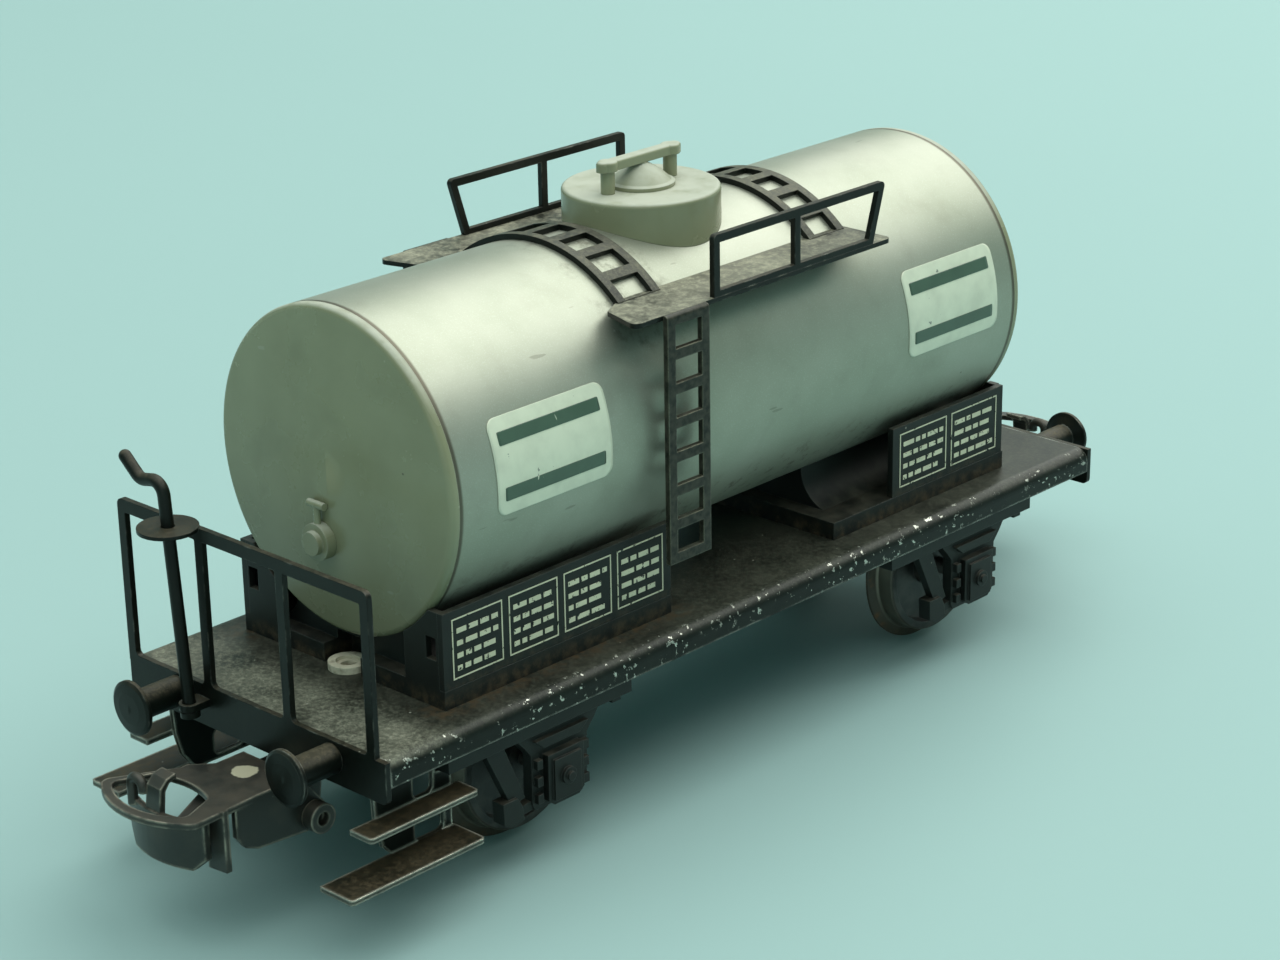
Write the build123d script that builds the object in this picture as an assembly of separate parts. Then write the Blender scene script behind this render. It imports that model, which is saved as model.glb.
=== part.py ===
"""Two-axle model tank wagon with a brakeman's end platform, in the 1:87 scale class.

Frame: X along the wagon, platform end at -X; Y across, Z up from the surface the wheels stand on.
Each function below builds one physical piece in millimetres.
"""
from build123d import *
import math
import os

os.makedirs("parts", exist_ok=True)

# ---------------------------------------------------------------- driving dimensions, mm
SHEET = 0.5                     # pressed tinplate
END_SHEET = 0.5                 # stamping of the two end pieces

DECK_HALF_LENGTH = 44.4
DECK_HALF_WIDTH = 15.4
DECK_TOP = 15.8
SKIRT_DEPTH = 2.2
SKIRT_BEND = 1.2                # outer radius of the folded edge
DECK_UNDER = DECK_TOP - SHEET

HEADSTOCK_LOW = 12.3
END_FACE = DECK_HALF_LENGTH + END_SHEET

RAIL_TOP = 29.4                 # platform railing, one stamping with the headstock
RAIL_HALF_WIDTH = 14.87
RAIL_OFFSET = 0.58              # the railing stands a little towards +Y
RAIL_POST = 0.9
RAIL_BAR = 1.1
WINDOW_LOW_R = 0.5              # corner radii of the railing's windows
WINDOW_TOP_R = 0.15

BUFFER_Y = 9.3
BUFFER_Z = 14.4
BUFFER_LENGTH = 5.0
BUFFER_HEAD_R = 2.3
BUFFER_SHANK_R = 1.25
BUFFER_SPIGOT_R = 0.55

AXLE_X = (-25.2, 28.8)          # platform axle, rear axle
FLANGE_R = 7.5
TREAD_R = 6.5
WHEEL_BACK = 7.2                # half of the back-to-back distance
FLANGE_WIDTH = 0.7
WHEEL_WIDTH = 2.4
AXLE_R = 0.75
PIVOT_R = 0.5                   # reduced ends of the axle
RUNNING = 0.05                  # radial clearance of every running fit

GUARD_INNER = 12.9              # inner face of the axle guards
GUARD_PLATE = 1.0
GUARD_BEFORE = 12.4             # how far the moulding reaches ahead of its axle
GUARD_BEHIND = 8.0
GUARD_RAIL_Y = 14.4
GUARD_RAIL_LOW = 11.9
WEB_LOW = 14.3

STEP_PLANE = {-1: 12.5, 1: 11.3}    # inner face of the step hanger on each side
STEP_DROP = {-1: 0.0, 1: 0.4}       # the +Y steps hang a little lower
STEP_FLANGE = 10.7                  # inner edge of the flange under the deck
STEP_FRONT = -44.3

COUPLER_PIVOT_X = 34.9
ARM_LOW = 10.2
ARM_TOP = 10.9
LOOP_LOW = 11.2
LOOP_TOP = 11.7
LOOP_PIN = (-44.0, 8.0)         # x and z of the loop's cross pin
LOOP_PIN_R = 0.5

TANK_R = 13.56
TANK_AXIS = 32.6
TANK_WALL = 0.7
TANK_HALF = 34.6                # half length of the barrel between its end caps
CAP_RIM = 35.4                  # where the rounded rim of an end cap ends
CAP_BULGE = 36.1

LEDGE_TOP = 17.4
CHEEK_THICK = 0.6               # upright end plates of a cradle
CHEEK_INNER = 7.5
SLOT_PLACE = (10.6, 20.75)      # y and z of the slot in an end plate
SLOT_SIZE = (1.15, 1.9)
SADDLE_FOOT = 9.3               # half widths of the saddle at its foot and shoulder
SADDLE_SHOULDER = 6.7
SADDLE_TOP = 21.5
LEDGE_HALF_WIDTH = 12.0
CRADLES = {                     # name: (ledge from, ledge to, saddle from, saddle to)
    "front": (-35.5, -9.8, -34.0, -12.0),
    "rear": (11.2, 35.5, 13.0, 34.0),
}
BOARDS = {"front": (-35.5, -9.8), "rear": (19.3, 35.3)}
BOARD_TOP = 23.9
BOARD_THICK = 0.6
SCREW_X = {"front": -13.6, "rear": 14.6}
RIVET_X = (-29.5, -19.5, 20.5, 30.5)

COCK_Y = 0.9                    # the outlet cock sits a little beside the middle
COCK_Z = 26.9
COCK_BODY_R = 1.55
COCK_FACE_R = 1.0
COCK_STEM_X = -36.5
COCK_STEM_R = 0.3
COCK_HANDLE_RISE = 3.1          # tee handle above the cock's middle
COCK_HANDLE_R = 0.32
COCK_HANDLE_HALF = 0.95
DOME_R = 6.75
DOME_TOP = 48.4
HATCH_R = 2.55
HATCH_APEX = 50.35
CLAMP_X = (-4.0, 3.6)           # posts of the clamp bar
CLAMP_POST_R = 0.6
CLAMP_BOSS_R = 0.85
CLAMP_THICK = 0.85
CLAMP_EDGE = 0.25               # rounding of the bar's upper edges

WALK_TOP = 42.9
WALK_THICK = 0.4
WALK_OUT = 14.4
WALK_X = (-16.1, 15.7)
WALK_INNER = 8.4
STRAPS = {"front": (-12.85, -7.95), "rear": (10.7, 15.2)}
STRAP_THICK = 0.5
STRAP_PITCH = 12.7              # degrees between the openings of a strap
STRAP_OPENINGS = 7
STRAP_OPENING = 2.1
HANDRAIL_FEET = (-6.8, 3.1, 12.5)   # left edges of the handrail posts at the walkway
HANDRAIL_SPREAD = 1.6           # how far the last post leans outward at its top
HANDRAIL_POST = 0.7
HANDRAIL_TOP = 48.1
HANDRAIL_TURN = 2.9             # the +Y handrail is the same part turned about this x
LEFT_SHIFT = -1.0               # the +Y walkway sits this far along X from the -Y one
LADDER_LOW = 21.7
LADDER_OPENINGS = 7
LADDER_RUNG = 0.9

CRANK_FOOT = (-46.3, 6.1, 14.2)
CRANK_LEAN = 4.0                # degrees, the brake spindle leans towards +Y
CRANK_R = 0.52
BRACKET_R = 0.85
BRACKET_THICK = 0.6
GUIDE_R = 2.45                  # round tab on the railing that guides the spindle
GUIDE_Z = 29.5
GUIDE_THICK = 0.3
CRANK_TURN = 1.1                # radius of the handle's bends
CRANK_BEND = ((33.2, 0), (32.65, 2.75), (34.15, 4.5))    # height, and reach beyond the spindle


# ---------------------------------------------------------------- helpers
def block(x0, x1, y0, y1, z0, z1):
    """Box between two corners."""
    centre = ((x0 + x1) / 2, (y0 + y1) / 2, (z0 + z1) / 2)
    return Pos(*centre) * Box(abs(x1 - x0), abs(y1 - y0), abs(z1 - z0))


def rod_x(x0, x1, y, z, r):
    return Pos((x0 + x1) / 2, y, z) * Rot(0, 90, 0) * Cylinder(r, abs(x1 - x0))


def rod_y(y0, y1, x, z, r):
    return Pos(x, (y0 + y1) / 2, z) * Rot(90, 0, 0) * Cylinder(r, abs(y1 - y0))


def rod_z(z0, z1, x, y, r):
    return Pos(x, y, (z0 + z1) / 2) * Cylinder(r, abs(z1 - z0))


def face_of(points):
    """Closed straight-sided face through points of the local plane."""
    return make_face(Polyline(*points, close=True))


def plate_xy(face, z0, z1):
    return extrude(Plane.XY.offset(z0) * face, amount=z1 - z0)


def plate_xz(face, y0, y1):
    """Face drawn in (x, z), between y0 and y1."""
    return extrude(Plane.XZ.offset(-y1) * face, amount=y1 - y0)


def plate_yz(face, x0, x1):
    """Face drawn in (y, z), between x0 and x1."""
    return extrude(Plane.YZ.offset(x0) * face, amount=x1 - x0)


def turned(points, axis):
    """Solid of revolution of a half section given as (radius, height along the axis)."""
    return revolve(Plane.XZ * face_of(points), axis=axis)


def tank_cylinder(extra=0.0, half=40.0):
    return rod_x(-half, half, 0, TANK_AXIS, TANK_R + extra)


def other_end(piece):
    """The same piece at the opposite end: half a turn about Z."""
    return Rot(0, 0, 180) * piece


def save(piece, node):
    export_step(piece, f"parts/{node}.step")


# ---------------------------------------------------------------- chassis
def deck():
    height = SKIRT_DEPTH
    outer = Rectangle(2 * DECK_HALF_WIDTH, height)
    outer = fillet(outer.vertices().group_by(Axis.Y)[-1], SKIRT_BEND)
    inner = Pos(0, -SHEET) * Rectangle(2 * (DECK_HALF_WIDTH - SHEET), height)
    inner = fillet(inner.vertices().group_by(Axis.Y)[-1], SKIRT_BEND - SHEET)
    section = Pos(0, DECK_TOP - height / 2) * (outer - inner)
    channel = plate_yz(section, -DECK_HALF_LENGTH, DECK_HALF_LENGTH)
    for side in (-1, 1):
        channel -= rod_z(DECK_UNDER - 1, DECK_TOP + 1, side * COUPLER_PIVOT_X, 0, 1.0)
    for x in SCREW_X.values():
        channel -= rod_z(DECK_UNDER - 1, DECK_TOP + 1, x, 0, 0.8)
    for x in RIVET_X:
        channel -= rod_z(DECK_UNDER - 1, DECK_TOP + 1, x, 0, 0.7)
    return channel


def headstock_plate():
    """Plain end plate at -X with its two buffer holes."""
    middle = (HEADSTOCK_LOW + DECK_TOP) / 2
    face = Pos(0, middle) * Rectangle(2 * DECK_HALF_WIDTH, DECK_TOP - HEADSTOCK_LOW)
    face = fillet(face.vertices().group_by(Axis.Y)[0], WINDOW_LOW_R)
    plate = plate_yz(face, -END_FACE, -DECK_HALF_LENGTH)
    for side in (-1, 1):
        hole = rod_x(-END_FACE - 1, -DECK_HALF_LENGTH + 1, side * BUFFER_Y, BUFFER_Z, BUFFER_SPIGOT_R)
        plate -= hole
    return plate


def spindle_direction():
    lean = math.radians(CRANK_LEAN)
    return (0, math.sin(lean), math.cos(lean))


def spindle_hole(radius):
    """Long cylinder on the brake spindle's axis."""
    plane = Plane(origin=CRANK_FOOT, z_dir=spindle_direction())
    return extrude(plane * Circle(radius), amount=25, both=True)


def spindle_y(z):
    return CRANK_FOOT[1] + (z - CRANK_FOOT[2]) * math.tan(math.radians(CRANK_LEAN))


def end_frame():
    """Platform end: headstock and railing in one stamping, with the brake spindle's two guides."""
    low = DECK_TOP + 0.1
    inside = RAIL_TOP - RAIL_BAR
    panel = Pos(RAIL_OFFSET, (DECK_TOP - 0.5 + RAIL_TOP) / 2) * Rectangle(
        2 * RAIL_HALF_WIDTH, RAIL_TOP - DECK_TOP + 0.5)
    panel = fillet(panel.vertices().group_by(Axis.Y)[-1], 0.6)
    pitch = (2 * RAIL_HALF_WIDTH - RAIL_POST) / 3
    window = Rectangle(pitch - RAIL_POST, inside - low)
    window = fillet(window.vertices().group_by(Axis.Y)[0], 0.5)
    window = fillet(window.vertices().group_by(Axis.Y)[-1], WINDOW_TOP_R)
    for i in (-1, 0, 1):
        panel -= Pos(RAIL_OFFSET + i * pitch, (low + inside) / 2) * window
    frame = headstock_plate() + plate_yz(panel, -END_FACE, -DECK_HALF_LENGTH)
    x, y = CRANK_FOOT[0], spindle_y(GUIDE_Z)
    frame += rod_z(GUIDE_Z - GUIDE_THICK, GUIDE_Z, x, y, GUIDE_R)
    foot_y = CRANK_FOOT[1]
    bracket_low, bracket_top = CRANK_FOOT[2], CRANK_FOOT[2] + BRACKET_THICK
    frame += block(x, -END_FACE + 0.1, foot_y - BRACKET_R, foot_y + BRACKET_R, bracket_low, bracket_top)
    frame += rod_z(bracket_low, bracket_top, x, foot_y, BRACKET_R)
    frame -= spindle_hole(CRANK_R + RUNNING)
    return frame


def brake_crank():
    """Brake spindle: bent wire with an upset foot below its bracket."""
    x = CRANK_FOOT[0]
    plane = Plane(origin=CRANK_FOOT, x_dir=(1, 0, 0), z_dir=spindle_direction())
    start = plane.from_local_coords(Vector(0, 0, -0.3))
    elbow = spindle_y(CRANK_BEND[0][0])
    bends = [Vector(x, elbow + reach, height) for height, reach in CRANK_BEND]
    path = FilletPolyline(start, *bends, radius=CRANK_TURN)
    wire = sweep(Plane(origin=path @ 0, z_dir=path % 0) * Circle(CRANK_R), path=path)
    wire += Pos(path @ 1) * Sphere(CRANK_R)
    upset = Plane(origin=plane.from_local_coords(Vector(0, 0, -0.6)), z_dir=plane.z_dir)
    return wire + extrude(upset * Circle(0.8), amount=0.5)


def buffer(side_y):
    """Turned buffer at -X, riveted through the end plate."""
    face = BUFFER_LENGTH
    section = [
        (0, -1.1), (0.9, -1.1), (0.9, -END_SHEET), (BUFFER_SPIGOT_R, -END_SHEET),
        (BUFFER_SPIGOT_R, 0), (BUFFER_SHANK_R, 0), (BUFFER_SHANK_R, face - 1.1),
        (BUFFER_HEAD_R - 0.35, face - 0.75), (BUFFER_HEAD_R, face - 0.6), (BUFFER_HEAD_R, face - 0.3),
        (BUFFER_HEAD_R - 0.25, face - 0.15), (BUFFER_HEAD_R * 0.55, face - 0.05), (0, face),
    ]
    body = turned(section, Axis.Z)
    return Pos(-END_FACE, side_y, BUFFER_Z) * Rot(0, -90, 0) * body


def axle_guard(axle_x):
    """Underframe moulding of one axle: web under the deck, side rails, axle guards and brake shoes."""
    x0, x1 = axle_x - GUARD_BEFORE, axle_x + GUARD_BEHIND
    part = block(x0, x1, 0.3 - GUARD_RAIL_Y, GUARD_RAIL_Y - 0.3, WEB_LOW, DECK_UNDER)
    for side in (-1, 1):
        ya, yb = sorted((side * (WHEEL_BACK - 0.5), side * (WHEEL_BACK + 1.4)))
        part -= block(axle_x - 4.2, axle_x + 4.2, ya, yb, WEB_LOW - 1, DECK_UNDER + 1)
        ya, yb = sorted((side * GUARD_INNER, side * GUARD_RAIL_Y))
        part += block(x0, x1, ya, yb, GUARD_RAIL_LOW, WEB_LOW)
        part += guard_side(axle_x, side)
    pivot = math.copysign(COUPLER_PIVOT_X, axle_x)
    part -= rod_z(WEB_LOW - 1, DECK_UNDER + 1, pivot, 0, 1.75)
    for x in RIVET_X:
        if x0 < x < x1:
            part -= rod_z(WEB_LOW - 1, DECK_UNDER + 1, x, 0, 0.7)
    return part


def guard_side(axle_x, side):
    """One axle guard with its axle box, guides, brake hanger and shoe, drawn at -Y and mirrored."""
    outer = GUARD_INNER + GUARD_PLATE
    plate = face_of([(-5.4, 12.5), (5.2, 12.5), (4.0, 10.8), (3.2, 9.9), (3.1, 5.7), (2.4, 5.0),
                     (-2.8, 5.0), (-3.1, 5.6), (-3.1, 9.9), (-3.8, 10.8)])
    part = plate_xz(plate, GUARD_INNER, outer)
    hanger = face_of([(-8.4, 12.5), (-6.4, 12.5), (-3.9, 6.6), (-5.4, 6.3)])
    part += plate_xz(hanger, GUARD_INNER + 0.2, outer)
    shoe = face_of([(-6.6, 7.0), (-5.0, 7.0), (-4.5, 6.2), (-4.3, 4.9), (-5.6, 4.6), (-6.5, 5.1)])
    part += plate_xz(shoe, GUARD_INNER, outer + 0.3)
    link = face_of([(-5.0, 5.7), (-5.0, 4.9), (-2.7, 5.1), (-2.7, 5.9)])
    part += plate_xz(link, GUARD_INNER, outer - 0.2)
    box = face_of([(-1.9, 9.7), (2.1, 9.7), (2.1, 5.7), (1.5, 5.2), (-1.3, 5.2), (-1.9, 5.7)])
    part += plate_xz(box, outer, outer + 0.7)
    part += block(-1.4, 1.6, outer + 0.7, outer + 0.95, 5.6, 9.2)
    for z in (6.1, 7.6, 9.1):
        for x in (-2.9, 2.3):
            part += block(x, x + 0.6, outer, outer + 0.5, z - 0.4, z + 0.4)
    part += rod_y(outer + 0.9, outer + 1.25, 0, FLANGE_R, 0.75)
    part += rod_y(outer + 1.2, outer + 1.5, 0, FLANGE_R, 0.4)
    part += block(6.2, 7.2, GUARD_INNER + 0.2, outer, GUARD_RAIL_LOW - 0.6, GUARD_RAIL_LOW)
    spring = face_of([(-3.0, 11.2), (3.0, 11.2), (2.0, 10.4), (-2.0, 10.4)])
    part += plate_xz(spring, outer, outer + 0.45)
    part -= rod_y(GUARD_INNER - 1, 14.2, 0, FLANGE_R, PIVOT_R + RUNNING)
    if side < 0:
        part = mirror(part, about=Plane.XZ)
    return Pos(axle_x, 0, 0) * part


def axle(axle_x):
    """Steel axle with reduced ends."""
    body = rod_y(-12.6, 12.6, axle_x, FLANGE_R, AXLE_R)
    return body + rod_y(-14.0, 14.0, axle_x, FLANGE_R, PIVOT_R)


def wheel(axle_x, side):
    """Flanged disc wheel, pressed on the axle; section as (radius, distance from the back face)."""
    rim = TREAD_R - 0.95
    section = [
        (AXLE_R, -0.3), (1.9, -0.3), (2.1, 0.55), (rim, 0.55), (rim + 0.25, 0), (FLANGE_R - 0.25, 0),
        (FLANGE_R, 0.22), (FLANGE_R, 0.42), (TREAD_R + 0.2, FLANGE_WIDTH), (TREAD_R, FLANGE_WIDTH + 0.2),
        (TREAD_R - 0.1, WHEEL_WIDTH - 0.15), (TREAD_R - 0.25, WHEEL_WIDTH), (rim + 0.1, WHEEL_WIDTH),
        (rim - 0.15, WHEEL_WIDTH - 0.8), (2.1, WHEEL_WIDTH - 0.95), (1.8, WHEEL_WIDTH + 0.35),
        (AXLE_R, WHEEL_WIDTH + 0.35),
    ]
    body = turned(section, Axis.Z)
    return Pos(axle_x, side * WHEEL_BACK, FLANGE_R) * Rot(-90 * side, 0, 0) * body


def step_unit(side):
    """Hanger with two treads at the platform corner, bent from one sheet; drawn at +Y."""
    y0, y1 = STEP_PLANE[side], STEP_PLANE[side] + SHEET
    drop = STEP_DROP[side]
    hanger = face_of([(STEP_FRONT, DECK_UNDER), (-37.8, DECK_UNDER), (-37.8, 11.8), (-36.2, 11.6),
                      (-36.2, 6.2 - drop), (-42.2, 6.2 - drop), (-43.4, 7.4), (-44.0, 9.6)])
    for x, z, w, h in ((-39.1, 11.35, 2.1, 2.2), (-38.6, 7.75, 3.1, 2.3)):
        hanger -= Pos(x, z - drop) * RectangleRounded(w, h, 0.6)
    part = plate_xz(hanger, y0, y1)
    part += block(STEP_FRONT, -37.8, STEP_FLANGE, y0, DECK_UNDER - 0.4, DECK_UNDER)
    upper = Pos(-41.0, y1 + 1.13) * Rectangle(11.2, 2.46)
    part += plate_xy(fillet(upper.vertices().group_by(Axis.Y)[-1], 0.35), 9.7 - drop, 10.15 - drop)
    lower = Pos(-42.9, y1 + 1.72) * Rectangle(13.8, 3.65)
    part += plate_xy(fillet(lower.vertices().group_by(Axis.Y)[-1], 0.35), 6.2 - drop, 6.65 - drop)
    return part if side > 0 else mirror(part, about=Plane.XZ)


# ---------------------------------------------------------------- couplers, drawn at -X
def coupler_rivet():
    """Tubular rivet that carries the coupler arm under the deck."""
    x = -COUPLER_PIVOT_X
    part = rod_z(9.9, DECK_TOP + 0.6, x, 0, 1.0)
    part += rod_z(ARM_TOP + 0.1, DECK_UNDER, x, 0, 1.6)
    part += rod_z(DECK_TOP, DECK_TOP + 0.6, x, 0, 1.65)
    part += rod_z(9.8, ARM_LOW - 0.1, x, 0, 1.6)
    return part - rod_z(5, 20, x, 0, 0.6) - rod_z(DECK_TOP + 0.3, 20, x, 0, 1.0)


def coupler_arm():
    """Swivelling arm with the curved shield and the hook at its head."""
    pin_x, pin_z = LOOP_PIN
    outline = face_of([(-COUPLER_PIVOT_X, 2.3), (-41.2, 2.3), (-42.0, 0.4), (-49.5, 0.4), (-49.5, -4.9),
                       (-42.6, -4.9), (-40.5, -2.3), (-COUPLER_PIVOT_X, -2.3)])
    part = plate_xy(outline, ARM_LOW, ARM_TOP) + rod_z(ARM_LOW, ARM_TOP, -COUPLER_PIVOT_X, 0, 2.3)
    lug = face_of([(pin_x - 1.2, ARM_LOW + 0.1), (pin_x - 1.2, pin_z - 0.5), (pin_x - 0.6, pin_z - 1.1),
                   (pin_x + 0.6, pin_z - 1.1), (pin_x + 1.2, pin_z - 0.5), (pin_x + 1.6, ARM_LOW + 0.1)])
    part += plate_xz(lug, -4.9, 0.4)
    part += plate_xz(face_of([(-49.5, ARM_TOP), (-49.5, ARM_LOW), (-54.2, 7.4), (-54.4, 8.2)]), -2.6, 0.2)
    arc_centre, arc_r = -46.2, 9.0
    shield = rod_z(6.4, 10.6, arc_centre, 0, arc_r) - rod_z(6, 11, arc_centre, 0, arc_r - 0.5)
    front = face_of([(-4.6, 10.6), (-4.6, 7.5), (-3.6, 6.5), (3.2, 6.5), (4.6, 8.4), (4.6, 10.6)])
    part += shield & plate_yz(front, -56, -50)
    hook = face_of([(-55.15, 9.6), (-54.6, 9.6), (-54.3, 12.2), (-53.9, 12.75), (-53.2, 12.95),
                    (-53.2, 13.35), (-54.1, 13.15), (-54.75, 12.5)])
    part += plate_xz(hook, -0.7, 1.0)
    curl = FilletPolyline((-54.75, 2.9, 10.2), (-54.75, 2.9, 12.6), (-54.75, 1.5, 12.6),
                          (-54.75, 1.5, 11.6), radius=0.65)
    part += sweep(Plane(origin=curl @ 0, z_dir=curl % 0) * Circle(0.42), path=curl)
    part -= rod_z(5, 15, -COUPLER_PIVOT_X, 0, 1.0 + RUNNING)
    return part - rod_y(-8, 4, pin_x, pin_z, LOOP_PIN_R + RUNNING)


def coupler_loop():
    """Lifting loop: flat ring, tail plate, two cheeks on the cross pin and a release tongue."""
    pin_x, pin_z = LOOP_PIN
    nose = ThreePointArc((-55.65, 5.6), (-57.85, 0.2), (-55.65, -5.9))
    bow = make_face([nose, Line((-55.65, -5.9), (-49.6, -5.6)), Line((-49.6, -5.6), (-49.6, 2.2)),
                     Line((-49.6, 2.2), (-55.65, 5.6))])
    ring = fillet(bow.vertices().filter_by(lambda v: v.X < -55), 0.9)
    ring += face_of([(-53.0, -5.6), (-53.0, 2.6), (-49.6, 2.6), (-48.0, 1.1), (-45.2, 1.1), (-45.2, -5.6)])
    eye_front = ThreePointArc((-55.35, 4.6), (-57.0, 0.3), (-55.35, -4.4))
    eye_back = ThreePointArc((-52.25, -3.2), (-51.55, 0.2), (-52.35, 3.4))
    eye = make_face([eye_front, Line((-55.35, -4.4), (-52.25, -3.2)), eye_back,
                     Line((-52.35, 3.4), (-55.35, 4.6))])
    ring -= fillet(eye.vertices(), 0.7)
    part = plate_xy(ring, LOOP_LOW, LOOP_TOP)
    cheek = face_of([(-51.6, LOOP_TOP), (-51.6, 8.8), (-50.8, 7.7), (-49.6, 7.2), (-44.8, 6.8),
                     (-43.4, 6.8), (-42.8, 7.4), (-42.8, 8.7), (-45.2, LOOP_TOP)])
    part += plate_xz(cheek, -5.6, -5.1)
    short = face_of([(-47.0, LOOP_TOP), (-45.0, 6.9), (-43.4, 6.9), (-42.8, 7.5), (-42.8, 8.7),
                     (-45.2, LOOP_TOP)])
    part += plate_xz(short, 0.6, 1.1)
    part += plate_yz(face_of([(-5.9, LOOP_TOP), (-3.7, LOOP_TOP), (-3.7, 6.3), (-5.9, 6.5)]), -53.0, -52.5)
    return part - rod_y(-8, 4, pin_x, pin_z, LOOP_PIN_R)


def coupler_pin():
    """Tubular cross pin of the loop, flared at both ends."""
    pin_x, pin_z = LOOP_PIN
    part = rod_y(-6.8, 1.5, pin_x, pin_z, LOOP_PIN_R)
    part += rod_y(-6.8, -5.6, pin_x, pin_z, 1.25) + rod_y(1.1, 1.5, pin_x, pin_z, 0.85)
    return part - rod_y(-6.9, -6.1, pin_x, pin_z, 0.55)


# ---------------------------------------------------------------- cradles and boards
def cradle(end):
    """Moulded saddle under one half of the tank, on a stepped base."""
    x0, x1, sx0, sx1 = CRADLES[end]
    part = block(x0, x1, -LEDGE_HALF_WIDTH, LEDGE_HALF_WIDTH, DECK_TOP, LEDGE_TOP)
    foot, shoulder, top = SADDLE_FOOT, SADDLE_SHOULDER, SADDLE_TOP
    flank = ThreePointArc((foot, LEDGE_TOP), (foot - 1.9, LEDGE_TOP + 1.2), (shoulder, top))
    mirrored = ThreePointArc((-shoulder, top), (1.9 - foot, LEDGE_TOP + 1.2), (-foot, LEDGE_TOP))
    section = make_face([flank, Line((shoulder, top), (-shoulder, top)), mirrored,
                         Line((-foot, LEDGE_TOP), (foot, LEDGE_TOP))])
    part += plate_yz(section, sx0, sx1)
    outside = math.copysign(1, x0 + x1)
    face_x = outside * max(abs(x0), abs(x1))
    edge = LEDGE_HALF_WIDTH - BOARD_THICK
    cheek = face_of([(CHEEK_INNER, LEDGE_TOP), (edge, LEDGE_TOP), (edge, BOARD_TOP),
                     (CHEEK_INNER, BOARD_TOP)])
    cheek -= Pos(*SLOT_PLACE) * Rectangle(*SLOT_SIZE)
    upright = plate_yz(cheek, *sorted((face_x, face_x - outside * CHEEK_THICK)))
    part += upright + mirror(upright, about=Plane.XZ)
    part -= tank_cylinder()
    hollow0, hollow1 = sorted((math.copysign(32.0, x0 + x1), math.copysign(17.2, x0 + x1)))
    part -= block(hollow0, hollow1, -7.6, 7.6, DECK_TOP - 1, 18.2)
    notch0, notch1 = sorted((math.copysign(36.0, x0 + x1), math.copysign(32.5, x0 + x1)))
    part -= block(notch0, notch1, -2.2, 2.2, DECK_TOP - 1, 18.2)
    return part - rod_z(DECK_TOP - 1, 18.4, SCREW_X[end], 0, 0.8)


def data_board(end, side):
    """Upright data board on the edge of a cradle's base."""
    x0, x1 = BOARDS[end]
    y0, y1 = sorted((side * LEDGE_HALF_WIDTH, side * (LEDGE_HALF_WIDTH - BOARD_THICK)))
    return block(x0, x1, y0, y1, LEDGE_TOP, BOARD_TOP)


def cradle_screws():
    """One pan-head screw per cradle, from below the deck."""
    parts = []
    for x in SCREW_X.values():
        screw = rod_z(DECK_UNDER, 18.4, x, 0, 0.8) + rod_z(14.4, DECK_UNDER, x, 0, 1.5)
        parts.append(screw - block(x - 1.3, x + 1.3, -0.2, 0.2, 14.0, 14.8))
    return Compound(children=parts)


def underframe_rivets():
    """Rivets that hold the two underframe mouldings to the deck."""
    parts = []
    for x in RIVET_X:
        rivet = rod_z(14.0, DECK_TOP + 0.3, x, 0, 0.7)
        rivet += rod_z(13.9, WEB_LOW, x, 0, 1.2) + rod_z(DECK_TOP, DECK_TOP + 0.3, x, 0, 1.2)
        parts.append(rivet)
    return Compound(children=parts)


# ---------------------------------------------------------------- tank
def barrel():
    inner = rod_x(-TANK_HALF - 1, TANK_HALF + 1, 0, TANK_AXIS, TANK_R - TANK_WALL)
    return rod_x(-TANK_HALF, TANK_HALF, 0, TANK_AXIS, TANK_R) - inner


def tank_end(side):
    """Domed end cap with a rounded rim and a collar inside the barrel."""
    bore = TANK_R - TANK_WALL
    crown = ThreePointArc((TANK_R, CAP_RIM), (0, CAP_BULGE), (-TANK_R, CAP_RIM))
    base = Line((-TANK_R, TANK_HALF), (TANK_R, TANK_HALF))
    section = make_face([base, Line((TANK_R, TANK_HALF), (TANK_R, CAP_RIM)), crown,
                         Line((-TANK_R, CAP_RIM), (-TANK_R, TANK_HALF))])
    section = fillet(section.vertices().filter_by(lambda v: v.Y > TANK_HALF + 0.1), 0.5)
    section &= Pos(TANK_R, TANK_HALF) * Rectangle(2 * TANK_R, 10)
    cap = revolve(Plane.XZ * section, axis=Axis.Z)
    cap += rod_z(TANK_HALF - 1.4, TANK_HALF, 0, 0, bore)
    cap -= rod_z(TANK_HALF - 2, TANK_HALF + 0.1, 0, 0, bore - TANK_WALL)
    return Pos(0, 0, TANK_AXIS) * Rot(0, 90 * side, 0) * cap


def outlet_cock():
    """Small outlet valve with a tee handle on the platform end of the tank."""
    handle_z = COCK_Z + COCK_HANDLE_RISE
    part = rod_x(COCK_STEM_X - 0.4, COCK_STEM_X + 1.5, COCK_Y, COCK_Z, COCK_BODY_R)
    part += rod_x(COCK_STEM_X - 0.9, COCK_STEM_X - 0.3, COCK_Y, COCK_Z, COCK_FACE_R)
    part += rod_z(COCK_Z + 1.2, handle_z, COCK_STEM_X, COCK_Y, COCK_STEM_R)
    handle_y0, handle_y1 = COCK_Y - COCK_HANDLE_HALF, COCK_Y + COCK_HANDLE_HALF
    part += rod_y(handle_y0, handle_y1, COCK_STEM_X, handle_z, COCK_HANDLE_R)
    return part - tank_end(-1) - tank_cylinder(half=35.2)


def dome():
    drum = rod_z(40, DOME_TOP, 0, 0, DOME_R)
    drum = fillet(drum.edges().group_by(Axis.Z)[-1], 0.35)
    drum -= rod_z(39, DOME_TOP - 0.8, 0, 0, DOME_R - 0.8)
    return drum - tank_cylinder()


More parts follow.
